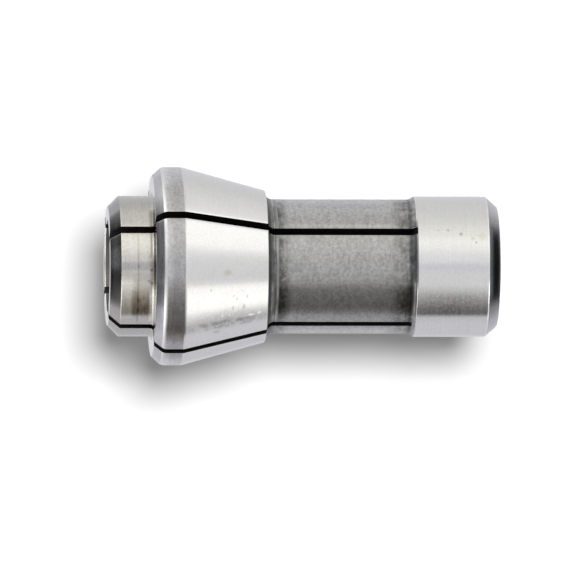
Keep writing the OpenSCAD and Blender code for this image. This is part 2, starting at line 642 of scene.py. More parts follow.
def mottle_group():
    """Cloudy patches, from 0 to 1, harder or softer at their edges."""
    group, given, result = new_group(
        "mottle",
        (
            ("Position", "NodeSocketVector", (0, 0, 0)),
            ("Patches per metre", "NodeSocketFloat", 600.0),
            ("Level", "NodeSocketFloat", 0.5),
            ("Softness", "NodeSocketFloat", 0.15),
        ),
        (("Mottle", "NodeSocketFloat"),),
    )
    noise = add(
        group, "ShaderNodeTexNoise",
        {
            "Vector": given["Position"], "Scale": given["Patches per metre"], "Detail": 5.0,
            "Roughness": 0.62,
        },
    )
    low = math_node(group, "SUBTRACT", given["Level"], given["Softness"])
    high = math_node(group, "ADD", given["Level"], given["Softness"])
    patches = add(
        group, "ShaderNodeMapRange", {"Value": noise.outputs["Fac"], "From Min": low, "From Max": high},
        interpolation_type="SMOOTHSTEP",
    )
    group.links.new(patches.outputs["Result"], result["Mottle"])


def ring_zone_group():
    """A zone round the piece that is full at one height and fades out along the axis."""
    group, given, result = new_group(
        "ring zone",
        (
            ("Position", "NodeSocketVector", (0, 0, 0)),
            ("Height", "NodeSocketFloat", 0.0),
            ("Reach", "NodeSocketFloat", 0.001),
        ),
        (("Zone", "NodeSocketFloat"),),
    )
    along = add(group, "ShaderNodeSeparateXYZ", {0: given["Position"]}).outputs["Z"]
    gap = math_node(group, "SUBTRACT", along, given["Height"])
    gap = math_node(group, "ABSOLUTE", gap)
    share = math_node(group, "DIVIDE", gap, given["Reach"])
    group.links.new(fade(group, share, 0.0, 1.0), result["Zone"])


def side_zone_group():
    """A zone along the side that faces a direction, fading out round the axis. Full and Gone are the
    cosines of the angles from that direction."""
    group, given, result = new_group(
        "side zone",
        (
            ("Position", "NodeSocketVector", (0, 0, 0)),
            ("Direction", "NodeSocketVector", (0, -1, 0)),
            ("Full", "NodeSocketFloat", 0.98),
            ("Gone", "NodeSocketFloat", 0.9),
        ),
        (("Zone", "NodeSocketFloat"),),
    )
    flat = vector_node(group, "MULTIPLY", given["Position"], (1, 1, 0))
    unit = vector_node(group, "NORMALIZE", flat)
    facing = vector_node(group, "DOT_PRODUCT", unit, given["Direction"], result="Value")
    zone = add(
        group, "ShaderNodeMapRange",
        {"Value": facing, "From Min": given["Gone"], "From Max": given["Full"]},
        interpolation_type="SMOOTHSTEP",
    )
    group.links.new(zone.outputs["Result"], result["Zone"])


def spot_group():
    """One small spot with a ragged edge, at a point of the surface."""
    group, given, result = new_group(
        "spot",
        (
            ("Position", "NodeSocketVector", (0, 0, 0)),
            ("Centre", "NodeSocketVector", (0, 0, 0)),
            ("Size", "NodeSocketFloat", 0.0002),
            ("Length", "NodeSocketFloat", 1.0),
            ("Ragged", "NodeSocketFloat", 0.5),
        ),
        (("Spot", "NodeSocketFloat"),),
    )
    away = vector_node(group, "SUBTRACT", given["Position"], given["Centre"])
    along = math_node(group, "DIVIDE", 1.0, given["Length"])
    squeeze = add(group, "ShaderNodeCombineXYZ", {"X": 1.0, "Y": 1.0, "Z": along}).outputs[0]
    away = vector_node(group, "MULTIPLY", away, squeeze)
    away = vector_node(group, "LENGTH", away, result="Value")
    share = math_node(group, "DIVIDE", away, given["Size"])
    noise = add(group, "ShaderNodeTexNoise", {"Vector": given["Position"], "Scale": 6000.0, "Detail": 2.0})
    uneven = math_node(group, "SUBTRACT", noise.outputs["Fac"], 0.5)
    uneven = math_node(group, "MULTIPLY", uneven, given["Ragged"])
    share = math_node(group, "ADD", share, uneven)
    group.links.new(fade(group, share, 0.2, 1.0), result["Spot"])


def new_material(name):
    """A material with no nodes yet: returns it and its tree."""
    material = bpy.data.materials.new(name)
    material.use_nodes = True
    material.node_tree.nodes.clear()
    return material, material.node_tree


def bare_steel(name, roughness, streak=0.0):
    """A material of bare steel: returns it, its tree, its shader and the position on the piece."""
    material, tree = new_material(name)
    shader = add(
        tree, "ShaderNodeBsdfPrincipled",
        {"Metallic": 1.0, "Roughness": roughness, "Anisotropic": streak, "Anisotropic Rotation": 0.25},
    )
    add(tree, "ShaderNodeOutputMaterial", {"Surface": shader.outputs["BSDF"]})
    position = add(tree, "ShaderNodeTexCoord").outputs["Object"]
    return material, tree, shader, position


def shade(colour, factor):
    """A colour made lighter or darker."""
    return tuple(c * factor for c in colour) + (1.0,)


def ring_bump(tree, shader, grain, depth):
    """Gives the surface the relief of its rings."""
    bump = add(tree, "ShaderNodeBump", {"Strength": 1.0, "Distance": depth, "Height": grain})
    tree.links.new(bump.outputs["Normal"], shader.inputs["Normal"])


def vary_roughness(tree, shader, mask, low, high):
    """Runs the roughness from low to high with a mask."""
    rough = add(tree, "ShaderNodeMapRange", {"Value": mask, "To Min": low, "To Max": high})
    tree.links.new(rough.outputs["Result"], shader.inputs["Roughness"])


def on_side(stage, degrees):
    """The horizontal direction at an angle from the camera's, upwards in the picture."""
    angle = stage.azimuth + math.radians(degrees)
    return Vector((math.cos(angle), math.sin(angle), 0))


def surface_point(stage, radius, height, degrees):
    """The point of a turned surface at a radius, a height and an angle from the camera's side."""
    return on_side(stage, degrees) * radius + Vector((0, 0, height))


def stain_and_shade(tree, colour, mask, tone):
    """The colour with a tone laid over it where the mask is: darker below 1 and lighter above, for stains
    and for painted light and shade.
    """
    return blend_colours(tree, mask, colour, (*tone, 1.0), "MULTIPLY")


def mixed(tree, first, second, share):
    """A value between two others."""
    return add(tree, "ShaderNodeMix", {0: share, 2: first, 3: second}, data_type="FLOAT").outputs[0]


def product(tree, *masks):
    """The masks multiplied together."""
    result = masks[0]
    for mask in masks[1:]:
        result = math_node(tree, "MULTIPLY", result, mask)
    return result


def side_mask(tree, position, stage, middle, full, gone):
    """A strip along the side, at an angle from the camera's: full to one angle from its middle, and gone
    at the other."""
    return place_group(
        tree, "side zone", Position=position, Direction=on_side(stage, middle),
        Full=math.cos(math.radians(full)), Gone=math.cos(math.radians(gone)),
    ).outputs["Zone"]


def ring_mask(tree, position, height, reach):
    """A zone round the piece at a height in millimetres."""
    ring = place_group(tree, "ring zone", Position=position, Height=height * MM, Reach=reach * MM)
    return ring.outputs["Zone"]


def mottle_mask(tree, position, patches, level, softness):
    """Cloudy patches."""
    return place_group(
        tree, "mottle", Position=position, Patches_per_metre=patches, Level=level, Softness=softness
    ).outputs["Mottle"]


def grain_mask(tree, position, rings, drift):
    """Fine rings."""
    return place_group(
        tree, "turning grain", Position=position, Rings_per_metre=rings, Drift_per_metre=drift
    ).outputs["Grain"]


def stains_and_shading_on(tree, position, colour, stage, side_tones, *through):
    """The colour with stains and painted light and shade along the side, each (middle, full and gone in
    degrees, tone). They show only through the masks that follow."""
    for *sector, tone in side_tones:
        mask = product(tree, side_mask(tree, position, stage, *sector), *through)
        colour = stain_and_shade(tree, colour, mask, tone)
    return colour


def patches_on(tree, position, colour, stage, patches, *through):
    """The colour with stains and painted light and shade in patches, each where a ring, (height, reach),
    meets a side, (middle, full, gone), with its tone. They show only through the masks that follow."""
    for ring, sector, tone in patches:
        crossing = (ring_mask(tree, position, *ring), side_mask(tree, position, stage, *sector))
        colour = stain_and_shade(tree, colour, product(tree, *crossing, *through), tone)
    return colour


def spots_on(tree, position, colour, stage, marks):
    """The colour with small marks, each (radius, height, degrees, size, length, tone) in millimetres, where
    the length is how many times longer the mark is along the piece than round it."""
    for radius, height, degrees, size, length, tone in marks:
        centre = surface_point(stage, radius * MM, height * MM, degrees)
        spot = place_group(tree, "spot", Position=position, Centre=centre, Size=size * MM, Length=length)
        colour = stain_and_shade(tree, colour, spot.outputs["Spot"], tone)
    return colour


def uneven_steel(tree, position, colour, swing, rings=11000, drift=300, clouds=1200, pores=6000):
    """A colour made uneven by clouds, pores and rings: returns it, the rings and the clouds."""
    grain = grain_mask(tree, position, rings, drift)
    cloudy = mottle_mask(tree, position, clouds, 0.5, 0.25)
    fine = mottle_mask(tree, position, pores, 0.5, 0.18)
    uneven = mixed(tree, mixed(tree, cloudy, fine, 0.65), grain, 0.35)
    colour = blend_colours(tree, uneven, shade(colour, 1 - swing), shade(colour, 1 + swing))
    return colour, grain, cloudy


# Rust specks and smudges on the land, then on the taper, with its short dark scratches and nicks with
# painted glints
GROUND_MARKS = (
    (4.5, 3.38, 31.0, 0.16, 1.0, (0.80, 0.76, 0.66)),
    (4.5, 4.02, 31.0, 0.13, 1.0, (0.90, 0.87, 0.80)),
    (4.5, 2.56, 27.6, 0.17, 1.0, (0.66, 0.62, 0.48)),
    (4.5, 1.60, 20.2, 0.10, 1.0, (0.62, 0.58, 0.50)),
    (4.5, 1.82, 23.5, 0.20, 1.0, (0.88, 0.87, 0.78)),
    (4.5, 1.22, 25.0, 0.45, 1.0, (0.94, 0.93, 0.82)),
    (5.56, 17.63, -4.2, 0.30, 1.3, (0.86, 0.83, 0.76)),
    (5.85, 18.70, -15.2, 0.17, 0.8, (0.78, 0.70, 0.54)),
    (5.88, 18.70, -11.5, 0.13, 0.7, (0.88, 0.86, 0.72)),
    (5.95, 19.10, 58.0, 0.14, 1.0, (0.84, 0.80, 0.72)),
    (5.70, 18.30, 49.0, 0.12, 1.0, (0.88, 0.85, 0.78)),
    (5.75, 18.25, -46.5, 0.22, 1.8, (0.78, 0.78, 0.72)),
    (5.25, 16.32, -21.2, 0.22, 0.4, (0.74, 0.72, 0.70)),
    (5.32, 16.51, -28.9, 0.28, 0.4, (0.68, 0.66, 0.68)),
    (5.50, 17.21, -29.0, 0.24, 0.5, (0.80, 0.72, 0.70)),
    (5.44, 16.98, -22.6, 0.16, 0.6, (0.80, 0.78, 0.76)),
    (5.49, 17.18, -20.3, 0.13, 0.8, (0.84, 0.82, 0.80)),
    (5.30, 16.60, -17.0, 0.09, 0.7, (0.74, 0.72, 0.70)),
    # Painted glints on nicks
    (5.70, 17.90, -34.0, 0.15, 0.8, (1.25, 1.25, 1.25)),
    (5.57, 17.43, -34.1, 0.15, 0.7, (1.30, 1.30, 1.30)),
    (5.17, 16.02, -36.6, 0.13, 3.0, (1.60, 1.60, 1.60)),
    (5.03, 15.50, -36.0, 0.17, 1.0, (1.55, 1.55, 1.55)),
    (5.07, 15.65, -39.8, 0.10, 1.0, (1.40, 1.40, 1.40)),
)
# Painted shade on the upper side of the land's front edge
GROUND_PATCHES = (((5.35, 0.1), (12, 22, 34), (0.28, 0.29, 0.31)),)


def ground_material(look, stage):
    """Ground steel of the taper and the land, with rust specks, a dull side, a scuffed place, a painted
    shade line and painted glints on nicks.
    """
    material, tree, shader, position = bare_steel("ground steel", 0.2, 0.6)
    colour, grain, _ = uneven_steel(
        tree, position, look.ground, 0.07, rings=14000, clouds=700, pores=6500
    )
    # The land's dull side, which ends sharply below
    dull = side_mask(tree, position, stage, -34, 7, 14)
    above = side_mask(tree, position, stage, -22, 20.5, 22.5)
    land = ring_mask(tree, position, 3.0, 4.0)
    patches = mottle_mask(tree, position, 5500, 0.45, 0.18)
    colour = stain_and_shade(tree, colour, product(tree, dull, above, land, patches), (0.73, 0.70, 0.69))
    # Painted shade on the upper side of the land's front edge
    colour = patches_on(tree, position, colour, stage, GROUND_PATCHES)
    # Grey smears on the taper, above a painted shade line along its near side
    taper = ring_mask(tree, position, 17.6, 3.4)
    strokes = grain_mask(tree, position, 3400, 1500)
    blots = mottle_mask(tree, position, 2600, 0.5, 0.14)
    smears = mixed(tree, strokes, blots, 0.5)
    worn = product(tree, side_mask(tree, position, stage, -37, 3, 10), taper, smears)
    colour = stain_and_shade(tree, colour, worn, (0.80, 0.79, 0.79))
    # Painted shade: a dark line along the taper's near side
    line = side_mask(tree, position, stage, -40.5, 1.2, 4.0)
    line = product(tree, line, ring_mask(tree, position, 17.6, 4.0), blots)
    colour = stain_and_shade(tree, colour, line, (0.62, 0.61, 0.64))
    colour = spots_on(tree, position, colour, stage, GROUND_MARKS)
    tree.links.new(colour, shader.inputs["Base Color"])
    vary_roughness(tree, shader, grain, 0.16, 0.24)
    ring_bump(tree, shader, grain, 0.0004 * MM)
    return material


# Brown stains on the nose, the darkest along a ring that the nut has rubbed, and black dirt in its root
NOSE_MARKS = (
    (4.5, 23.225, -39.0, 0.36, 0.38, (0.50, 0.46, 0.42)),
    (4.5, 23.225, -29.0, 0.40, 0.32, (0.58, 0.52, 0.46)),
    (4.5, 22.84, -37.5, 0.42, 0.42, (0.70, 0.64, 0.58)),
    (4.5, 22.88, -27.0, 0.34, 0.36, (0.78, 0.73, 0.67)),
    (4.5, 22.62, -34.0, 0.36, 0.36, (0.84, 0.79, 0.73)),
    (4.5, 23.23, -0.5, 0.16, 0.5, (0.76, 0.74, 0.70)),
    (4.5, 22.40, -3.5, 0.14, 1.0, (0.40, 0.38, 0.34)),
    (4.5, 22.55, -12.5, 0.11, 1.5, (0.62, 0.60, 0.58)),
    (4.5, 22.38, -14.0, 0.14, 1.2, (0.50, 0.48, 0.46)),
    (4.5, 22.38, 33.5, 0.20, 0.8, (0.62, 0.52, 0.40)),
    (4.5, 22.50, 8.0, 0.20, 0.5, (0.80, 0.76, 0.70)),
)
# Brown stains in front of the root, a streaked one over them, and painted light on the front of the nose's
# near side
NOSE_STAINS = (
    (-30, 8, 20, (0.94, 0.91, 0.87)),
    (-36, 6, 13, (0.88, 0.83, 0.77)),
)
NOSE_STREAKS = ((-33, 9, 15, (0.58, 0.54, 0.49)),)
NOSE_PAINTED_LIGHT = ((-28, 13, 22, (1.32, 1.32, 1.32)),)
# Painted light and shade round the nose: lighter above, darker near the top and bottom edges, and thin
# darker lines where it faces the camera
NOSE_PAINTED_SHADING = (
    (20, 6, 13, (1.09, 1.09, 1.09)),
    (-78, 14, 32, (0.84, 0.84, 0.85)),
    (78, 14, 32, (0.84, 0.84, 0.85)),
    (0, 2, 4.5, (0.80, 0.81, 0.83)),
    (-9, 1.5, 5, (0.90, 0.90, 0.90)),
)
# A painted highlight and a dim place in the root, the ring that the nut has rubbed, and dirt in the root
NOSE_PATCHES = (
    ((22.43, 0.13), (-37, 10, 17), (1.60, 1.56, 1.56)),
    ((22.38, 0.16), (17, 5, 12), (0.50, 0.48, 0.46)),
    ((23.235, 0.14), (-14, 34, 44), (0.80, 0.77, 0.74)),
    ((22.24, 0.4), (-5, 8, 17), (0.40, 0.38, 0.36)),
    ((22.24, 0.4), (38, 8, 17), (0.40, 0.38, 0.36)),
)


def nose_material(look, stage):
    """Turned steel of the nose, warm from handling, with brown stains low on its near side, and painted
    light and shade.
    """
    material, tree, shader, position = bare_steel("nose steel", 0.26, 0.6)
    colour, grain, _ = uneven_steel(tree, position, look.nose, 0.15)
    streaks = grain_mask(tree, position, 3600, 260)
    height = add(tree, "ShaderNodeSeparateXYZ", {0: position}).outputs["Z"]
    # The stains end sharply below and at the root, and lie thicker towards the head
    above = side_mask(tree, position, stage, -20, 22.5, 25.5)
    in_front = fade(tree, height, 22.57 * MM, 22.45 * MM)
    clean = fade(tree, height, 23.75 * MM, 23.38 * MM)
    stained = product(tree, above, in_front, mixed(tree, 1.0, 0.32, clean))
    colour = stains_and_shading_on(tree, position, colour, stage, NOSE_STAINS, stained)
    colour = stains_and_shading_on(tree, position, colour, stage, NOSE_STREAKS, stained, streaks)
    # Painted light on the front of the near side, then painted light and shade round the nose, and a
    # painted highlight in the root
    colour = stains_and_shading_on(tree, position, colour, stage, NOSE_PAINTED_LIGHT, clean)
    colour = stains_and_shading_on(tree, position, colour, stage, NOSE_PAINTED_SHADING)
    colour = patches_on(tree, position, colour, stage, NOSE_PATCHES)
    colour = spots_on(tree, position, colour, stage, NOSE_MARKS)
    tree.links.new(colour, shader.inputs["Base Color"])
    vary_roughness(tree, shader, grain, 0.2, 0.32)
    ring_bump(tree, shader, grain, 0.0005 * MM)
    return material


# Old oil on the band's near side with a thin darker line in it, painted light above and below and on its
# upper side, and a thin painted highlight low on its near side
BAND_OIL_AND_SHADING = (
    (-29, 8, 24, (0.56, 0.54, 0.54)),
    (84, 8, 34, (1.48, 1.48, 1.52)),
    (45, 8, 16, (1.08, 1.08, 1.08)),
    (-82, 5, 18, (1.50, 1.50, 1.52)),
    (-25, 1.5, 6, (0.84, 0.84, 0.84)),
    (-41, 2.5, 7, (1.15, 1.15, 1.15)),
)


def band_material(look, stage):
    """The head's band, left from turning and dull with old oil, rubbed bright along its crest, and with
    painted light and shade.
    """
    material, tree, shader, position = bare_steel("band steel", 0.34, 0.5)
    colour, grain, cloudy = uneven_steel(
        tree, position, look.band, 0.30, rings=9000, drift=1200, clouds=1300
    )
    # Old oil on the near side, and painted light and shade round the band
    colour = stains_and_shading_on(tree, position, colour, stage, BAND_OIL_AND_SHADING)
    brown = product(tree, side_mask(tree, position, stage, -42, 3, 9), cloudy)
    colour = stain_and_shade(tree, colour, brown, (0.96, 0.85, 0.72))
    colour = stain_and_shade(tree, colour, ring_mask(tree, position, 21.5, 0.6), (1.25, 1.25, 1.25))
    # The crest is rubbed, and darker on its near side
    near = side_mask(tree, position, stage, 4, 12, 28)
    worn = blend_colours(tree, near, shade(look.edge, 1.0), shade(look.edge, 0.68))
    colour = blend_colours(tree, ring_mask(tree, position, 21.65, 0.27), colour, worn)
    tree.links.new(colour, shader.inputs["Base Color"])
    vary_roughness(tree, shader, grain, 0.28, 0.4)
    ring_bump(tree, shader, grain, 0.0007 * MM)
    return material


# Painted light towards the neck's top and bottom, a thin darker line, a painted highlight above the slit,
# and old oil on its near side
NECK_OIL_AND_SHADING = (
    (72, 6, 32, (1.29, 1.29, 1.33)),
    (80, 4, 14, (1.17, 1.17, 1.18)),
    (-82, 6, 22, (1.47, 1.47, 1.51)),
    (-10, 1.5, 4.5, (0.90, 0.90, 0.90)),
    (36.9, 0.8, 2.1, (1.16, 1.16, 1.16)),
    (-28.5, 5, 19, (0.44, 0.43, 0.42)),
)
# Oil near both corners, low on the near side, and painted shade on the upper side of each corner
NECK_PATCHES = (
    ((5.9, 1.3), (-32, 7, 17), (0.48, 0.48, 0.45)),
    ((14.1, 0.8), (-32, 7, 17), (0.48, 0.48, 0.45)),
    ((5.5, 0.36), (13, 20, 32), (0.24, 0.25, 0.27)),
    ((14.56, 0.26), (4, 16, 28), (0.55, 0.56, 0.58)),
    ((14.25, 0.42), (24, 28, 44), (0.68, 0.69, 0.70)),
)
NECK_BLOTCHES = (
    ((14.0, 0.7), (-24, 13, 28), (0.40, 0.39, 0.37)),
    ((6.2, 0.9), (-32, 8, 15), (0.74, 0.74, 0.68)),
)
# Thin painted highlights in the corners
NECK_PAINTED_HIGHLIGHTS = (
    ((14.66, 0.07), (-28, 9, 17), (2.60, 2.60, 2.70)),
    ((5.51, 0.09), (-28, 9, 17), (2.20, 2.20, 2.30)),
)


def neck_material(look, stage):
    """The turned neck: grey, ringed and mottled, black with old oil and dirt in both corners, and with
    painted light and shade.
    """
    material, tree, shader, position = bare_steel("neck steel", 0.44, 0.5)
    colour, grain, _ = uneven_steel(
        tree, position, look.neck, 0.35, rings=7500, drift=1800, pores=5500
    )
    # Painted light and shade round the neck, and old oil on its near side
    colour = stains_and_shading_on(tree, position, colour, stage, NECK_OIL_AND_SHADING)
    # Smears of oil towards both corners
    blots = mottle_mask(tree, position, 1700, 0.48, 0.16)
    streaks = grain_mask(tree, position, 5200, 1300)
    smears = mixed(tree, blots, streaks, 0.5)
    front_end = ring_mask(tree, position, 14.2, 0.95)
    rear_end = ring_mask(tree, position, 5.9, 1.55)
    ends = math_node(tree, "MAXIMUM", front_end, rear_end)
    colour = stain_and_shade(tree, colour, product(tree, ends, smears), (0.28, 0.28, 0.26))
    # Oil near both corners, painted shade on the upper side of each corner, and painted shade all round the
    # rear corner
    colour = patches_on(tree, position, colour, stage, NECK_PATCHES)
    colour = stain_and_shade(tree, colour, ring_mask(tree, position, 5.74, 0.22), (0.46, 0.48, 0.50))
    # Dirt in the front corner, with blotches beside it, rubbed off along a thin ring and scratched, with
    # painted highlights along thin lines
    dirt = ring_mask(tree, position, 14.85, 0.74)
    grime = blend_colours(tree, smears, (0.09, 0.09, 0.088, 1), (0.028, 0.029, 0.028, 1))
    colour = blend_colours(tree, dirt, colour, grime)
    blotch = mottle_mask(tree, position, 2600, 0.5, 0.14)
    colour = patches_on(tree, position, colour, stage, NECK_BLOTCHES, blotch)
    patchy = mixed(tree, 0.9, blots, 0.5)
    rubbed = product(tree, ring_mask(tree, position, 14.3, 0.13), patchy)
    colour = blend_colours(tree, rubbed, colour, shade(look.neck, 0.8))
    scratches = fade(tree, grain_mask(tree, position, 9500, 450), 0.75, 0.5)
    scratches = product(tree, scratches, ring_mask(tree, position, 14.46, 0.3))
    colour = stain_and_shade(tree, colour, scratches, (2.1, 2.1, 2.2))
    colour = patches_on(tree, position, colour, stage, NECK_PAINTED_HIGHLIGHTS)
    tree.links.new(colour, shader.inputs["Base Color"])
    metal = fade(tree, dirt, 0.0, 0.8)
    tree.links.new(metal, shader.inputs["Metallic"])
    vary_roughness(tree, shader, grain, 0.38, 0.52)
    ring_bump(tree, shader, grain, 0.001 * MM)
    return material


def rear_chamfer_material(look, stage):
    """The rear chamfer, with painted shade on its near side, and rubbed dull along both of its edges."""
    material, tree, shader, position = bare_steel("rear chamfer steel", 0.22, 0.4)
    colour, grain, _ = uneven_steel(tree, position, look.rear_chamfer, 0.14, rings=10000)
    # Painted shade on the near side
    near = side_mask(tree, position, stage, 5, 20, 38)
    colour = stain_and_shade(tree, colour, near, (0.62, 0.64, 0.67))
    front_edge = ring_mask(tree, position, 0.66, 0.28)
    rear_edge = ring_mask(tree, position, 0.02, 0.18)
    rubbed = product(tree, near, math_node(tree, "MAXIMUM", front_edge, rear_edge))
    tree.links.new(colour, shader.inputs["Base Color"])
    vary_roughness(tree, shader, rubbed, 0.22, 0.5)
    ring_bump(tree, shader, grain, 0.0004 * MM)
    return material


# Painted shade and painted light on the other chamfers, and a painted highlight on the worn edges low on
# the near side
NUT_CHAMFER_PAINTED_SHADING = (
    (-5, 26, 42, (0.72, 0.70, 0.75)),
    (-18, 3, 9.5, (0.57, 0.57, 0.58)),
    (-50, 6, 18, (0.84, 0.84, 0.86)),
    (60, 6, 14, (0.91, 0.91, 0.92)),
)
NOSE_CHAMFER_PAINTED_SHADING = (
    (43, 5, 14, (0.45, 0.46, 0.48)),
    (-20, 8, 21, (0.38, 0.37, 0.38)),
    (7, 3, 12, (1.70, 1.76, 1.80)),
    (-76, 10, 20, (1.30, 1.28, 1.28)),
)
EDGE_PAINTED_HIGHLIGHT = ((-31, 11, 22, (1.42, 1.42, 1.42)),)


def plain_steel(name, colour, rough, depth, stage, side_tones=()):
    """A turned facet with its rings and a little cloudiness, and with any painted light and shade given
    along its side.
    """
    material, tree, shader, position = bare_steel(name, rough, 0.4)
    colour, grain, _ = uneven_steel(tree, position, colour, 0.14, rings=10000)
    colour = stains_and_shading_on(tree, position, colour, stage, side_tones)
    tree.links.new(colour, shader.inputs["Base Color"])
    vary_roughness(tree, shader, grain, rough - 0.05, rough + 0.05)
    ring_bump(tree, shader, grain, depth * MM)
    return material


def sawn_material(look):
    """Sawn slit walls, black with hardening scale, which also stands in for the shade inside the slits."""
    material, tree, shader, position = bare_steel("sawn steel", 0.6)
    clouds = mottle_mask(tree, position, 2000, 0.5, 0.2)
    colour = blend_colours(tree, clouds, shade(look.sawn, 0.7), shade(look.sawn, 1.2))
    tree.links.new(colour, shader.inputs["Base Color"])
    return material


def build_finishes(look, stage):
    """All the finishes, in the order of FINISHES."""
    turning_grain_group()
    mottle_group()
    ring_zone_group()
    side_zone_group()
    spot_group()
    return (
        ground_material(look, stage),
        nose_material(look, stage),
        band_material(look, stage),
        neck_material(look, stage),
        plain_steel("nut chamfer steel", look.nut_chamfer, 0.28, 0.0005, stage, NUT_CHAMFER_PAINTED_SHADING),
        plain_steel("nose chamfer steel", look.nose_chamfer, 0.24, 0.0005, stage, NOSE_CHAMFER_PAINTED_SHADING),
        rear_chamfer_material(look, stage),
        plain_steel("faced steel", look.faced, 0.2, 0.0003, stage),
        plain_steel("bored steel", look.bore, 0.35, 0.0005, stage),
        sawn_material(look),
        plain_steel("worn edge steel", look.edge, 0.2, 0.0003, stage, EDGE_PAINTED_HIGHLIGHT),
    )


class COLLET_OT_body(bpy.types.Operator):
    """Turns the collet, saws its four slits and gives it its finishes"""

    bl_idname = "collet.body"
    bl_label = "Collet Body"

    def execute(self, context):
        sizes = context.scene.collet_sizes
        body = mesh_object(turned_body(sizes), "collet")
        for material in build_finishes(context.scene.collet_look, context.scene.collet_stage):
            body.data.materials.append(material)
        cut_slits(body, sizes)
        break_slit_edges(body, sizes)
        smooth_shading(body)
        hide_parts("collet_body")
        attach(body, "root")
        return {"FINISHED"}


def smooth_shading(body):
    """Shades the turned surfaces smooth and keeps the sharp edges."""
    bm = bmesh.new()
    bm.from_mesh(body.data)
    for f in bm.faces:
        f.smooth = True
    sharp = math.radians(28)
    for e in bm.edges:
        e.smooth = len(e.link_faces) == 2 and e.calc_face_angle() < sharp
    bm.to_mesh(body.data)
    bm.free()
    weighted = body.modifiers.new("flat faces", "WEIGHTED_NORMAL")
    weighted.keep_sharp = True


# The stage


def picture_axes(stage):
    """The picture's axes in the scene: right, up, and back towards the camera."""
    level = on_side(stage, 0) * math.cos(stage.elevation)
    back = level + Vector((0, 0, math.sin(stage.elevation)))
    nose_right = NOSE_PIXEL[0] - REAR_PIXEL[0]
    nose_up = REAR_PIXEL[1] - NOSE_PIXEL[1]
    nose_way = Vector((0, 0, 1)) - back * back.z
    roll = math.atan2(nose_up, nose_right)
    right = Matrix.Rotation(-roll, 3, back) @ nose_way.normalized()
    return right, back.cross(right), back


def place_camera(stage):
    """The camera, at the photograph's angle and framing, with the collet lying across the picture.
    Returns the point at the picture's middle and the size of a pixel there."""
    right, up, back = picture_axes(stage)
    pixels = math.dist(NOSE_PIXEL, REAR_PIXEL)
    pixel = LENGTH * math.cos(stage.elevation) / pixels
    middle_right = (NOSE_PIXEL[0] + REAR_PIXEL[0]) / 2 - PHOTO_SIZE[0] / 2
    middle_down = (NOSE_PIXEL[1] + REAR_PIXEL[1]) / 2 - PHOTO_SIZE[1] / 2
    target = Vector((0, 0, LENGTH / 2)) + (up * middle_down - right * middle_right) * pixel
    camera = bpy.data.objects.new("camera", bpy.data.cameras.new("camera"))
    camera.data.sensor_width = 36
    camera.data.lens = camera.data.sensor_width * stage.distance / (PHOTO_SIZE[0] * pixel)
    turn = Matrix((right, up, back)).transposed().to_4x4()
    camera.matrix_world = Matrix.Translation(target + back * stage.distance) @ turn
    bpy.context.scene.collection.objects.link(camera)
    bpy.context.scene.camera = camera
    return target, pixel


# The light tent round the collet: degrees from the camera's side, upwards in the picture, with the
# level and the tint there, above 1 for bluer light
WALLS = (
    (-180, 0.76, 1.06), (-150, 0.74, 1.06), (-140, 0.775, 1.07), (-130, 0.81, 1.07), (-118, 0.82, 1.08),
    (-92, 0.78, 1.08), (-86, 0.17, 0.98), (-80, 0.185, 0.98), (-70, 0.27, 1.0), (-60, 0.42, 1.0),
    (-50, 0.58, 1.0), (-40, 0.72, 1.02), (-30, 0.94, 1.02), (-10, 0.95, 1.03), (0, 0.86, 1.08),
    (10, 1.08, 1.04), (20, 1.13, 1.0), (30, 1.28, 0.98), (40, 1.38, 0.97), (50, 1.28, 0.97),
    (70, 1.06, 0.97), (90, 0.96, 0.98), (110, 0.93, 1.0), (130, 0.885, 1.02), (140, 0.865, 1.03),
    (150, 0.83, 1.04), (180, 0.76, 1.06),
)
# The same for light from below, towards the rear end, and from above, towards the nose
LOW_WINDOWS = (
    (-180, 0.78, 1.06), (-140, 0.8, 1.06), (-100, 0.9, 1.06), (-90, 0.85, 1.04), (-84, 0.71, 1.0),
    (-76, 0.92, 1.0), (-68, 1.3, 0.99), (-60, 1.75, 0.98), (-52, 1.79, 0.98), (-30, 1.72, 0.98),
    (-24, 1.12, 1.0), (-16, 1.05, 1.02), (-6, 1.09, 1.02), (8, 1.12, 1.02), (18, 1.28, 1.0),
    (28, 1.65, 0.99), (58, 1.65, 0.99), (70, 1.32, 1.0), (84, 1.13, 1.0), (110, 0.99, 1.0),
    (130, 0.9, 1.02), (180, 0.78, 1.06),
)
HIGH_WINDOWS = (
    (-180, 0.93, 1.04), (-135, 1.1, 1.04), (-115, 1.1, 1.02), (-100, 1.5, 1.0), (-85, 2.3, 1.0),
    (-48, 2.4, 1.0), (-29, 1.7, 1.0), (-6, 1.05, 1.0), (8, 1.4, 1.0), (25, 2.0, 1.0), (43, 2.4, 1.0),
    (90, 2.3, 1.0), (105, 1.8, 1.0), (120, 1.5, 1.0), (135, 1.0, 1.02), (180, 0.93, 1.04),
)
BRIGHTEST = 2.4

# Heights of the direction at which the low and the high windows are full, and at which they are gone
LOW_RANGE = (-0.38, -0.3)
HIGH_RANGE = (0.6, 0.36)

# What is left of the light downwards: height of the direction and share
BELOW = ((-1.0, 0.01), (-0.87, 0.012), (-0.8, 0.45), (-0.57, 1.0))

# The tent's dark top: its colour, and the angles from its middle at which it is full and gone
TOP_COLOUR = (0.022, 0.0225, 0.024, 1)
TOP_FULL = math.radians(24)
TOP_GONE = math.radians(43)


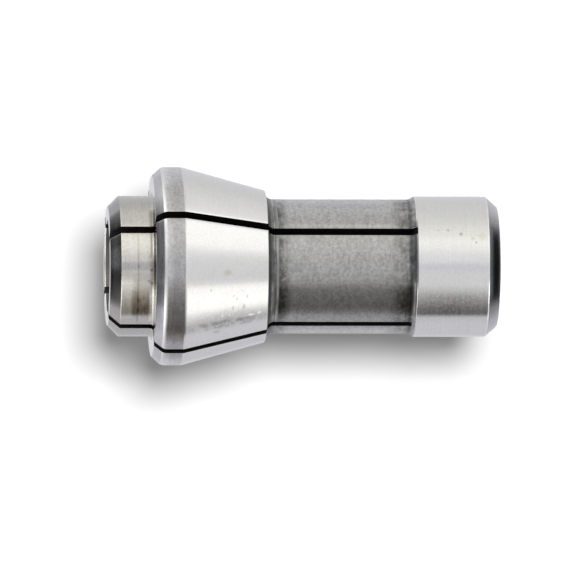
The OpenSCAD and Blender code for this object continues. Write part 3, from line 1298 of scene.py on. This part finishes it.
def ramp(tree, value, stops):
    """A colour ramp through stops, each a place from 0 to 1 and a colour."""
    node = add(tree, "ShaderNodeValToRGB", {"Fac": value})
    elements = node.color_ramp.elements
    while len(elements) > 1:
        elements.remove(elements[-1])
    for i, (place, colour) in enumerate(stops):
        element = elements[0] if i == 0 else elements.new(place)
        element.position = place
        element.color = (*colour, 1.0)
    return node.outputs["Color"]


def tent_ramp(tree, around, levels):
    """The tent's light round the collet."""
    stops = []
    for degrees, level, blue in levels:
        level = level / BRIGHTEST
        stops.append(((degrees + 180) / 360, (level, level, level * blue)))
    return ramp(tree, around, stops)


def tent_colour(tree, stage):
    """The tent's light from each direction, as a share of the brightest."""
    towards = add(tree, "ShaderNodeTexCoord").outputs["Generated"]
    turned = add(tree, "ShaderNodeMapping", {"Vector": towards, "Rotation": (0, 0, -stage.azimuth)})
    facing = turned.outputs[0]
    around = add(tree, "ShaderNodeTexGradient", {"Vector": facing}, gradient_type="RADIAL").outputs["Fac"]
    height = add(tree, "ShaderNodeSeparateXYZ", {0: facing}).outputs["Z"]
    tent = tent_ramp(tree, around, WALLS)
    low = fade(tree, height, *LOW_RANGE)
    tent = blend_colours(tree, low, tent, tent_ramp(tree, around, LOW_WINDOWS))
    high = fade(tree, height, *HIGH_RANGE)
    tent = blend_colours(tree, high, tent, tent_ramp(tree, around, HIGH_WINDOWS))
    place = add(tree, "ShaderNodeMapRange", {"Value": height, "From Min": -1.0, "From Max": 1.0})
    stops = [((z + 1) / 2, (share, share, share)) for z, share in BELOW]
    tent = blend_colours(tree, 1.0, tent, ramp(tree, place.outputs["Result"], stops), "MULTIPLY")
    # The dark top is a little behind the collet and above it in the picture
    lean = stage.top_lean
    swing = stage.top_swing
    top = (math.sin(lean) * math.cos(swing), math.sin(lean) * math.sin(swing), math.cos(lean))
    upward = vector_node(tree, "DOT_PRODUCT", facing, top, result="Value")
    zenith = fade(tree, upward, math.cos(TOP_FULL), math.cos(TOP_GONE))
    return blend_colours(tree, zenith, tent, TOP_COLOUR)


def light_tent(stage):
    """The world: the light tent, weaker on what scatters light, and white where the camera looks."""
    world = bpy.data.worlds.new("light tent")
    world.use_nodes = True
    bpy.context.scene.world = world
    world.cycles.sampling_method = "NONE"
    tree = world.node_tree
    tree.nodes.clear()
    path = add(tree, "ShaderNodeLightPath")
    scattered = BRIGHTEST * stage.scattered_share
    strength = mixed(tree, BRIGHTEST, scattered, path.outputs["Is Diffuse Ray"])
    lit = add(tree, "ShaderNodeBackground", {"Color": tent_colour(tree, stage), "Strength": strength})
    white = add(tree, "ShaderNodeBackground", {"Color": (1, 1, 1, 1), "Strength": 1.0})
    shown = add(
        tree, "ShaderNodeMixShader",
        {0: path.outputs["Is Camera Ray"], 1: lit.outputs[0], 2: white.outputs[0]},
    )
    add(tree, "ShaderNodeOutputWorld", {"Surface": shown.outputs[0]})


def paper_material(name, colour, glow, clear_from, back_clear):
    """White paper that takes the collet's shadow and glows a little to the camera, which sees through it
    where it lies along the view, from a share of the way to that, and from its back if that is clear."""
    material, tree = new_material(name)
    paper = add(tree, "ShaderNodeBsdfDiffuse", {"Color": (colour, colour, colour, 1)})
    path = add(tree, "ShaderNodeLightPath")
    strength = math_node(tree, "MULTIPLY", path.outputs["Is Camera Ray"], glow)
    light = add(tree, "ShaderNodeEmission", {"Color": (1, 1, 1, 1), "Strength": strength})
    surface = add(tree, "ShaderNodeAddShader", {0: paper.outputs[0], 1: light.outputs[0]}).outputs[0]
    along = add(tree, "ShaderNodeLayerWeight", {"Blend": 0.5}).outputs["Facing"]
    hidden = fade(tree, along, clear_from, clear_from - 0.1)
    hidden = product(tree, hidden, path.outputs["Is Camera Ray"])
    if back_clear:
        behind = add(tree, "ShaderNodeNewGeometry").outputs["Backfacing"]
        hidden = math_node(tree, "MAXIMUM", hidden, behind)
    clear = add(tree, "ShaderNodeBsdfTransparent").outputs[0]
    surface = add(tree, "ShaderNodeMixShader", {0: hidden, 1: surface, 2: clear}).outputs[0]
    add(tree, "ShaderNodeOutputMaterial", {"Surface": surface})
    return material


def sheet(name, size, place, material):
    """A square sheet of paper, in a place given by a matrix. It isn't mirrored in the collet and throws no
    light or shadow on it."""
    bm = bmesh.new()
    bmesh.ops.create_grid(bm, x_segments=1, y_segments=1, size=size / 2)
    bmesh.ops.transform(bm, matrix=place, verts=bm.verts)
    paper = mesh_object(bm, name)
    paper.data.materials.append(material)
    paper.visible_glossy = False
    paper.visible_diffuse = False
    paper.visible_shadow = False


def place_papers(stage, target, pixel):
    """The floor under the collet, and the backdrop behind it, where the photograph has its table."""
    white = paper_material("floor paper", colour=0.9, glow=0.77, clear_from=0.9, back_clear=False)
    sheet("floor", stage.floor_size, Matrix.Identity(4), white)
    white = paper_material("backdrop paper", colour=0.8, glow=0.0, clear_from=0.42, back_clear=True)
    right, up, back = picture_axes(stage)
    turn = Matrix((right, up, back)).transposed().to_4x4()
    place = Matrix.Translation(target - back * stage.backdrop_gap) @ turn
    sheet("backdrop", PHOTO_SIZE[0] * pixel * stage.backdrop_share, place, white)


def place_lamp(stage):
    """The soft lamp at the camera, a little to the right and above, which throws the shadow."""
    right, up, back = picture_axes(stage)
    lamp = bpy.data.objects.new("lamp", bpy.data.lights.new("lamp", "SUN"))
    lamp.data.energy = stage.lamp_power
    lamp.data.angle = stage.lamp_spread
    to_lamp = (back + right * stage.lamp_right + up * stage.lamp_up).normalized()
    lamp.matrix_world = to_lamp.to_track_quat("Z", "Y").to_matrix().to_4x4()
    lamp.visible_glossy = False
    bpy.context.scene.collection.objects.link(lamp)


class COLLET_OT_stage(bpy.types.Operator):
    """Sets the floor, the backdrop, the light tent, the lamp and the camera"""

    bl_idname = "collet.stage"
    bl_label = "Collet Stage"

    def execute(self, context):
        stage = context.scene.collet_stage
        target, pixel = place_camera(stage)
        light_tent(stage)
        place_papers(stage, target, pixel)
        place_lamp(stage)
        context.scene.view_settings.view_transform = "Standard"
        return {"FINISHED"}


class COLLET_PT_panel(bpy.types.Panel):
    """The collet's steps, in order"""

    bl_idname = "COLLET_PT_panel"
    bl_label = "Air Tool Collet"
    bl_space_type = "VIEW_3D"
    bl_region_type = "UI"
    bl_category = "Collet"

    def draw(self, context):
        for operator in (COLLET_OT_body, COLLET_OT_stage):
            self.layout.operator(operator.bl_idname)


CLASSES = (ColletSizes, ColletLook, ColletStage, COLLET_OT_body, COLLET_OT_stage, COLLET_PT_panel)


def register():
    for cls in CLASSES:
        bpy.utils.register_class(cls)
    bpy.types.Scene.collet_sizes = bpy.props.PointerProperty(type=ColletSizes)
    bpy.types.Scene.collet_look = bpy.props.PointerProperty(type=ColletLook)
    bpy.types.Scene.collet_stage = bpy.props.PointerProperty(type=ColletStage)


def unregister():
    del bpy.types.Scene.collet_stage
    del bpy.types.Scene.collet_look
    del bpy.types.Scene.collet_sizes
    for cls in reversed(CLASSES):
        bpy.utils.unregister_class(cls)


def main():
    register()
    bpy.ops.collet.body()
    bpy.ops.collet.stage()


if __name__ == "__main__":
    main()
